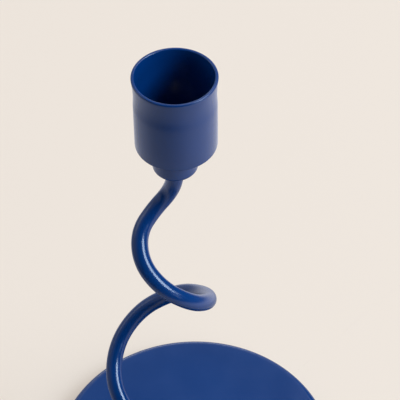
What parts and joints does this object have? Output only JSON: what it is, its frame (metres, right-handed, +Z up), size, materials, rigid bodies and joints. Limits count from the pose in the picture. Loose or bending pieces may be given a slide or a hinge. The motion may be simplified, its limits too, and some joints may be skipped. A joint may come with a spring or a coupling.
{
  "type": "candle holder",
  "caption": "Taper candle holder: a straight-sided cup on a bent round rod that winds once round in an open spiral down to a round flat base.",
  "frame": {"origin": "centre of the base pad's underside, on the surface that the holder stands on", "axes": "+Z up, -Y the front, where the spiral's lowest bend crosses from left to right"},
  "size_m": [0.1, 0.1, 0.1872],
  "materials": {
    "blue_enamel": "satin",
    "zinc_steel": "satin",
    "pad_rubber": "matt"
  },
  "bodies": {
    "root": {"candle_cup": "blue_enamel", "cup_washer": "zinc_steel", "cup_screw": "zinc_steel", "stem_collar": "blue_enamel", "spiral_stem": "blue_enamel", "base_plate": "blue_enamel", "base_washer": "zinc_steel", "base_nut": "zinc_steel", "base_pad": "pad_rubber"}
  },
  "joints": []
}
